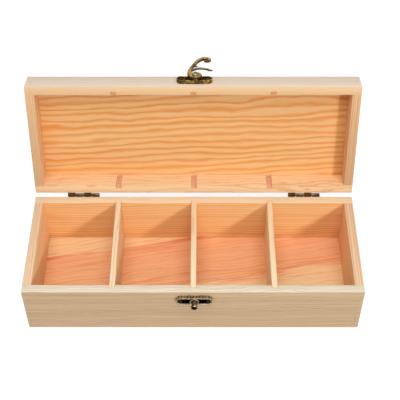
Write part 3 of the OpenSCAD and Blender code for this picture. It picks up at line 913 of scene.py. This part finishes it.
def makePlate(name, shift):
    halfLong, halfHigh = clasp["width"] / 2, clasp["height"] / 2
    plate = startBox(name, (-halfLong, -halfHigh, 0), (halfLong, halfHigh, clasp["thick"]))
    bevelWhere(plate, lambda a, b: abs(a.z - b.z) > 1, halfHigh, 14)
    onlySelect(plate)
    bpy.ops.object.mode_set(mode="EDIT")
    bpy.ops.mesh.select_all(action="SELECT")
    bpy.ops.mesh.remove_doubles(threshold=0.02 * mm)
    bpy.ops.mesh.select_mode(type="FACE")
    bpy.ops.mesh.select_all(action="DESELECT")
    mesh = bmesh.from_edit_mesh(plate.data)
    for face in mesh.faces:
        if face.normal.z > 0.9:
            face.select_set(True)
    bmesh.update_edit_mesh(plate.data)
    bpy.ops.mesh.inset(thickness=clasp["edge"] * mm, depth=0)
    bpy.ops.transform.translate(value=(0, 0, clasp["edge"] * mm / 2))
    bpy.ops.mesh.inset(thickness=(clasp["rim"] - clasp["edge"]) * mm, depth=0)
    bpy.ops.mesh.inset(thickness=clasp["sunkSlope"] * mm, depth=-clasp["sunk"] * mm)
    bpy.ops.mesh.select_all(action="SELECT")
    squeeze = clasp["thick"] / (clasp["thick"] + clasp["edge"] / 2)
    bpy.ops.transform.resize(value=(1, 1, squeeze), center_override=(0, 0, 0))
    bpy.ops.object.mode_set(mode="OBJECT")
    top = clasp["thick"] + clasp["seatRise"]
    seat = turnPart("seat", [[clasp["seat"], 1], [clasp["seat"], top - clasp["seatEase"]],
                             [clasp["seat"] - clasp["seatEase"], top]], 48)
    combine(plate, movePiece(seat, Matrix.Translation((shift * mm, 0, 0))), "UNION")
    low, high = -boards["past"], clasp["cutTop"]
    cutters = [movePiece(peg("bore", clasp["bore"], low, high, 32),
                         Matrix.Translation((shift * mm, 0, 0)))]
    nailSeat = clasp["thick"] - clasp["recess"]
    for side in (-1, 1):
        place = Matrix.Translation((side * clasp["nailPitch"] / 2 * mm, 0, 0))
        cutters.append(movePiece(turnPart("recess", [
            [boards["nailHole"], low], [boards["nailHole"], nailSeat],
            [clasp["recessR"], nailSeat], [clasp["recessR"], high]], 24), place))
    # flutes all round the side
    around = 2 * (clasp["width"] - clasp["height"]) + math.pi * clasp["height"]
    for i in range(clasp["flutes"]):
        spot, out = rimPoint((i + 0.5) * around / clasp["flutes"])
        spot += out * (clasp["fluteR"] - clasp["fluteDepth"])
        cutters.append(movePiece(peg("flute", clasp["fluteR"], low, high, 16),
                                 Matrix.Translation(spot * mm)))
    combine(plate, joinPieces(cutters, "cutters"), "DIFFERENCE")
    # the sunk face takes the near-black second material
    for face in plate.data.polygons:
        sunk = 1 < face.center.z / mm < clasp["thick"] - clasp["sunk"] / 2
        reach = (face.center.xy / mm - Vector((shift, 0))).length
        if face.normal.z > 0.9 and sunk and reach > clasp["seat"]:
            face.material_index = 1
    smoothShade(plate)
    return plate


catchPlate = makePlate("catchPlate", 0)
dress(movePiece(catchPlate, onFront(clasp["x"], clasp["postZ"])),
      [metals["catchBronze"], metals["plateFace"]], "base", "antique_bronze", "catch_plate")
hookPlate = makePlate("hookPlate", clasp["pivotShift"])
dress(movePiece(hookPlate, lidTurn @ onFront(clasp["x"], clasp["pivotZ"])),
      [metals["plateBronze"], metals["plateFace"]], "lid", "antique_bronze", "hook_plate")
print("clasp plates made")

# Centrelines seen from the front with the lid's top upwards: [x, y, half width]
hook = {
    "under": 4.6, "thick": 3.0, "ring": 5.8, "ringTube": 1.9, "hub": 1.0, "bore": 1.55,
    "voxel": 0.2, "softness": 0.5, "flatten": 1.35,
    "arm": [
        [-4.2, -2.6, 1.8], [-5.2, 1, 2.1], [-5.5, 5.4, 2.1], [-5.3, 10.2, 1.8],
        [-4.1, 15.2, 1.6], [-2.2, 20.5, 1.6], [-0.2, 26, 1.8], [2.1, 31, 2],
        [5.2, 34.7, 2.1], [8.7, 36.2, 2.1], [11.7, 35.1, 2], [12.3, 32.3, 1.8],
        [10.8, 30.5, 1.5], [8.6, 30.8, 1.2]],
    "prong": [
        [-4.6, 9.4, 0.9], [-2.7, 11.4, 1.3], [-0.6, 13.3, 1.2], [2.9, 14.8, 1.1],
        [6.3, 14.7, 1.1], [9.8, 13.6, 1.1], [12.3, 11.7, 1.2], [14.6, 10.9, 0.8]],
    "nib": [[-2.4, 19.9, 1.3], [0.2, 19.5, 0.9], [2, 18.8, 0.35]],
}


# A rod along a line of [x, y, radius] points, with round ends
def makeRod(name, line):
    deselectAll()
    bpy.ops.curve.primitive_bezier_curve_add()
    rod = bpy.context.object
    rod.name = name
    points = rod.data.splines[0].bezier_points
    points.add(len(line) - len(points))
    for point, (x, y, radius) in zip(points, line):
        point.co = (x * mm, y * mm, 0)
        point.radius = radius
        point.handle_left_type = "AUTO"
        point.handle_right_type = "AUTO"
    rod.data.resolution_u = 8
    rod.data.bevel_depth = mm
    rod.data.bevel_resolution = 5
    rod.data.use_fill_caps = True
    onlySelect(rod)
    bpy.ops.object.convert(target="MESH")
    rod = bpy.context.object
    applyPlace(rod)
    caps = []
    for x, y, radius in (line[0], line[-1]):
        deselectAll()
        bpy.ops.mesh.primitive_uv_sphere_add(
            segments=24, ring_count=12, radius=radius * mm, location=(x * mm, y * mm, 0))
        caps.append(bpy.context.object)
        applyPlace(caps[-1])
    return joinPieces([rod] + caps, name)


def makeHook():
    rods = [makeRod(word, hook[word]) for word in ("arm", "prong", "nib")]
    deselectAll()
    bpy.ops.mesh.primitive_torus_add(
        major_radius=(hook["ring"] - hook["ringTube"]) * mm, minor_radius=hook["ringTube"] * mm,
        major_segments=64, minor_segments=20)
    ring = bpy.context.object
    hub = peg("hub", hook["ring"] - hook["ringTube"], -hook["hub"], hook["hub"], 48)
    piece = joinPieces([ring] + rods + [hub], "swingHook")
    onlySelect(piece)
    bpy.ops.object.modifier_add(type="REMESH")
    cast = piece.modifiers[-1]
    cast.mode = "VOXEL"
    cast.voxel_size = hook["voxel"] * mm
    bpy.ops.object.modifier_apply(modifier=cast.name)
    bpy.ops.object.modifier_add(type="SMOOTH")
    soft = piece.modifiers[-1]
    soft.factor = hook["softness"]
    soft.iterations = 3
    bpy.ops.object.modifier_apply(modifier=soft.name)
    half = hook["thick"] / 2
    for vertex in piece.data.vertices:  # the casting is flattened towards both faces
        vertex.co.z = half * mm * math.tanh(vertex.co.z / mm / hook["flatten"])
    combine(piece, peg("bore", hook["bore"], -half * 2, half * 2, 40), "DIFFERENCE")
    smoothShade(piece, 60)
    return movePiece(piece, Matrix.Translation((0, 0, (hook["under"] + half) * mm)))


swingHook = movePiece(makeHook(), pivot)
dress(swingHook, metals["hookBronze"], "hook", "antique_bronze", "hook")
print("hook made")


# Four knuckles in a row, with a gap between each two
knuckle = (hinge["width"] - 3 * hinge["knuckleGap"]) / 4


def knuckleStart(side, i):
    return side * hinge["x"] - hinge["width"] / 2 + i * (knuckle + hinge["knuckleGap"])


def makeLeaf(name, side, up, first):
    x = side * hinge["x"]
    half = hinge["width"] / 2
    root = hinge["axisZ"] + up * hinge["leafGap"]
    freeEdge = hinge["axisZ"] + up * hinge["leafHeight"]
    low, high = sorted((root, freeEdge))
    leaf = startBox(name, (x - half, halfD, low), (x + half, halfD + hinge["leaf"], high))
    corners = [edgeAt("x", end, freeEdge) for end in (x - half, x + half)]
    bevelWhere(leaf, lambda a, b: any(test(a, b) for test in corners),
               hinge["cornerRound"], 6)
    easeEdges(leaf, hinge["ease"])
    low, high = sorted((hinge["axisZ"] + up * hinge["tabStart"], root + up * hinge["leaf"]))
    radius, ease = hinge["knuckleRound"], hinge["knuckleEase"]
    for i in (first, first + 2):
        start = knuckleStart(side, i)
        tab = startBox("tab", (start + 0.02, halfD + 0.01, low),  # just inside the leaf's faces
                       (start + knuckle - 0.02, halfD + hinge["leaf"] - 0.01, high))
        combine(leaf, tab, "UNION")
        barrel = turnPart("barrel", [[radius - ease, 0], [radius, ease],
                                     [radius, knuckle - ease], [radius - ease, knuckle]], 40)
        combine(leaf, movePiece(barrel, onHinge(start)), "UNION")
    return leaf


# Lugs that meet the base leaves when the lid stands open
def makeStops(side):
    lowY, highY = hinge["lugY"]
    lowZ, highZ = hinge["lugZ"]
    lugs = []
    for i in (0, 2):
        start = knuckleStart(side, i)
        lugs.append(startBox("lug", (start + hinge["lugInset"], lowY, lowZ),
                             (start + knuckle - hinge["lugInset"], highY, highZ)))
        easeEdges(lugs[-1], hinge["lugEase"])
    return joinPieces(lugs, "lugs")


def boreCutter(x):
    bore = peg("bore", hinge["pin"] + hinge["pinFit"], -hinge["width"], hinge["width"], 32)
    return movePiece(bore, onHinge(x))


for side, word in ((-1, "left"), (1, "right")):
    baseLeaf = makeLeaf(f"{word}HingeBaseLeaf", side, -1, 1)
    combine(baseLeaf, boreCutter(side * hinge["x"]), "DIFFERENCE")
    smoothShade(baseLeaf)
    dress(baseLeaf, metals["hingeBronze"], "base", "antique_bronze", f"hinge_{word}_base_leaf")
    lidLeaf = makeLeaf(f"{word}HingeLidLeaf", side, 1, 0)
    movePiece(lidLeaf, lidTurn)
    combine(lidLeaf, makeStops(side), "UNION")
    combine(lidLeaf, boreCutter(side * hinge["x"]), "DIFFERENCE")
    smoothShade(lidLeaf)
    dress(lidLeaf, metals["hingeShadedCopy"], "lid", "antique_bronze", f"hinge_{word}_lid_leaf")
    half, ease = hinge["width"] / 2, hinge["pinEase"]
    pin = turnPart(f"{word}HingePin", [
        [hinge["pin"] - ease, -half], [hinge["pin"], ease - half],
        [hinge["pin"], half - ease], [hinge["pin"] - ease, half]], 32)
    smoothShade(movePiece(pin, onHinge(side * hinge["x"])))
    dress(pin, nailBronze, "base", "antique_bronze", f"hinge_{word}_pin")
print("hinges made")

# The brads keep the frame's own meshes
for name in ("base_brads", "lid_brads"):
    brads = frame["nodes"][name]
    brads.data.materials.clear()
    brads.data.materials.append(metals["bradSteel"])

# Smooth shading for the boards and their eased edges
for piece in bpy.data.objects:
    if piece.type == "MESH" and piece.name.startswith(("base", "lid", "divider")) \
            and piece.name not in frame["nodes"]:
        smoothShade(piece, 40)

# Metres and radians, but the camera's place, lens and sensor are in millimetres
studio = {
    "floorSize": 8, "floorGlow": 0.86, "floorColour": 0.32, "floorRough": 0.9, "sky": 0.23,
    "camera": (8.716, -528.800, 718.617), "lens": 83.81,
    "sensor": 36, "pitch": 0.8519, "yaw": 0.0047, "roll": -0.0036, "aim": (0, 0, 0.05),
    "lamps": [
        {"name": "key", "at": (1.58, -2.95, 1.6), "size": 0.4, "power": 50},
        {"name": "top", "at": (0.05, -0.42, 1.6), "size": 1.1, "power": 15},
        {"name": "fill", "at": (-1.0, -1.1, 0.9), "size": 1.2, "power": 3.2},
    ],
}

deselectAll()
bpy.ops.mesh.primitive_plane_add(size=studio["floorSize"], location=(0, 0, 0))
studioFloor = bpy.context.object
studioFloor.name = "studioFloor"
floorMaterial = bpy.data.materials.new("studioFloor")
floorMaterial.use_nodes = True
tree = floorMaterial.node_tree
shader = tree.nodes["Principled BSDF"]
shade = studio["floorColour"]
shader.inputs["Base Color"].default_value = (shade, shade, shade, 1)
shader.inputs["Roughness"].default_value = studio["floorRough"]
shader.inputs["Emission Color"].default_value = (1, 1, 1, 1)
glow = times(tree, seenMask(tree), studio["floorGlow"])
feed(tree, glow, shader.inputs["Emission Strength"])
studioFloor.data.materials.append(floorMaterial)

world = bpy.data.worlds.new("studio")
bpy.context.scene.world = world
world.use_nodes = True
tree = world.node_tree
sky = tree.nodes["Background"]
sky.inputs["Color"].default_value = (1, 1, 1, 1)
feed(tree, spread(tree, seenMask(tree), 0, 1, studio["sky"], 1.0), sky.inputs["Strength"])

for lamp in studio["lamps"]:
    bpy.ops.object.light_add(type="AREA", location=lamp["at"])
    light = bpy.context.object
    light.name = lamp["name"]
    light.data.size = lamp["size"]
    light.data.energy = lamp["power"]
    aim = Vector(studio["aim"]) - Vector(lamp["at"])
    light.rotation_euler = aim.to_track_quat("-Z", "Y").to_euler()

bpy.ops.object.camera_add(location=Vector(studio["camera"]) * mm)
camera = bpy.context.object
camera.name = "camera"
turn = (Matrix.Rotation(studio["yaw"], 3, "Z")
        @ Matrix.Rotation(math.pi / 2 - studio["pitch"], 3, "X")
        @ Matrix.Rotation(studio["roll"], 3, "Z"))
camera.rotation_euler = turn.to_euler()
camera.data.sensor_width = studio["sensor"]
camera.data.lens = studio["lens"]
camera.data.clip_start = 0.01
bpy.context.scene.camera = camera
bpy.context.scene.view_settings.view_transform = "Standard"
print("studio made")
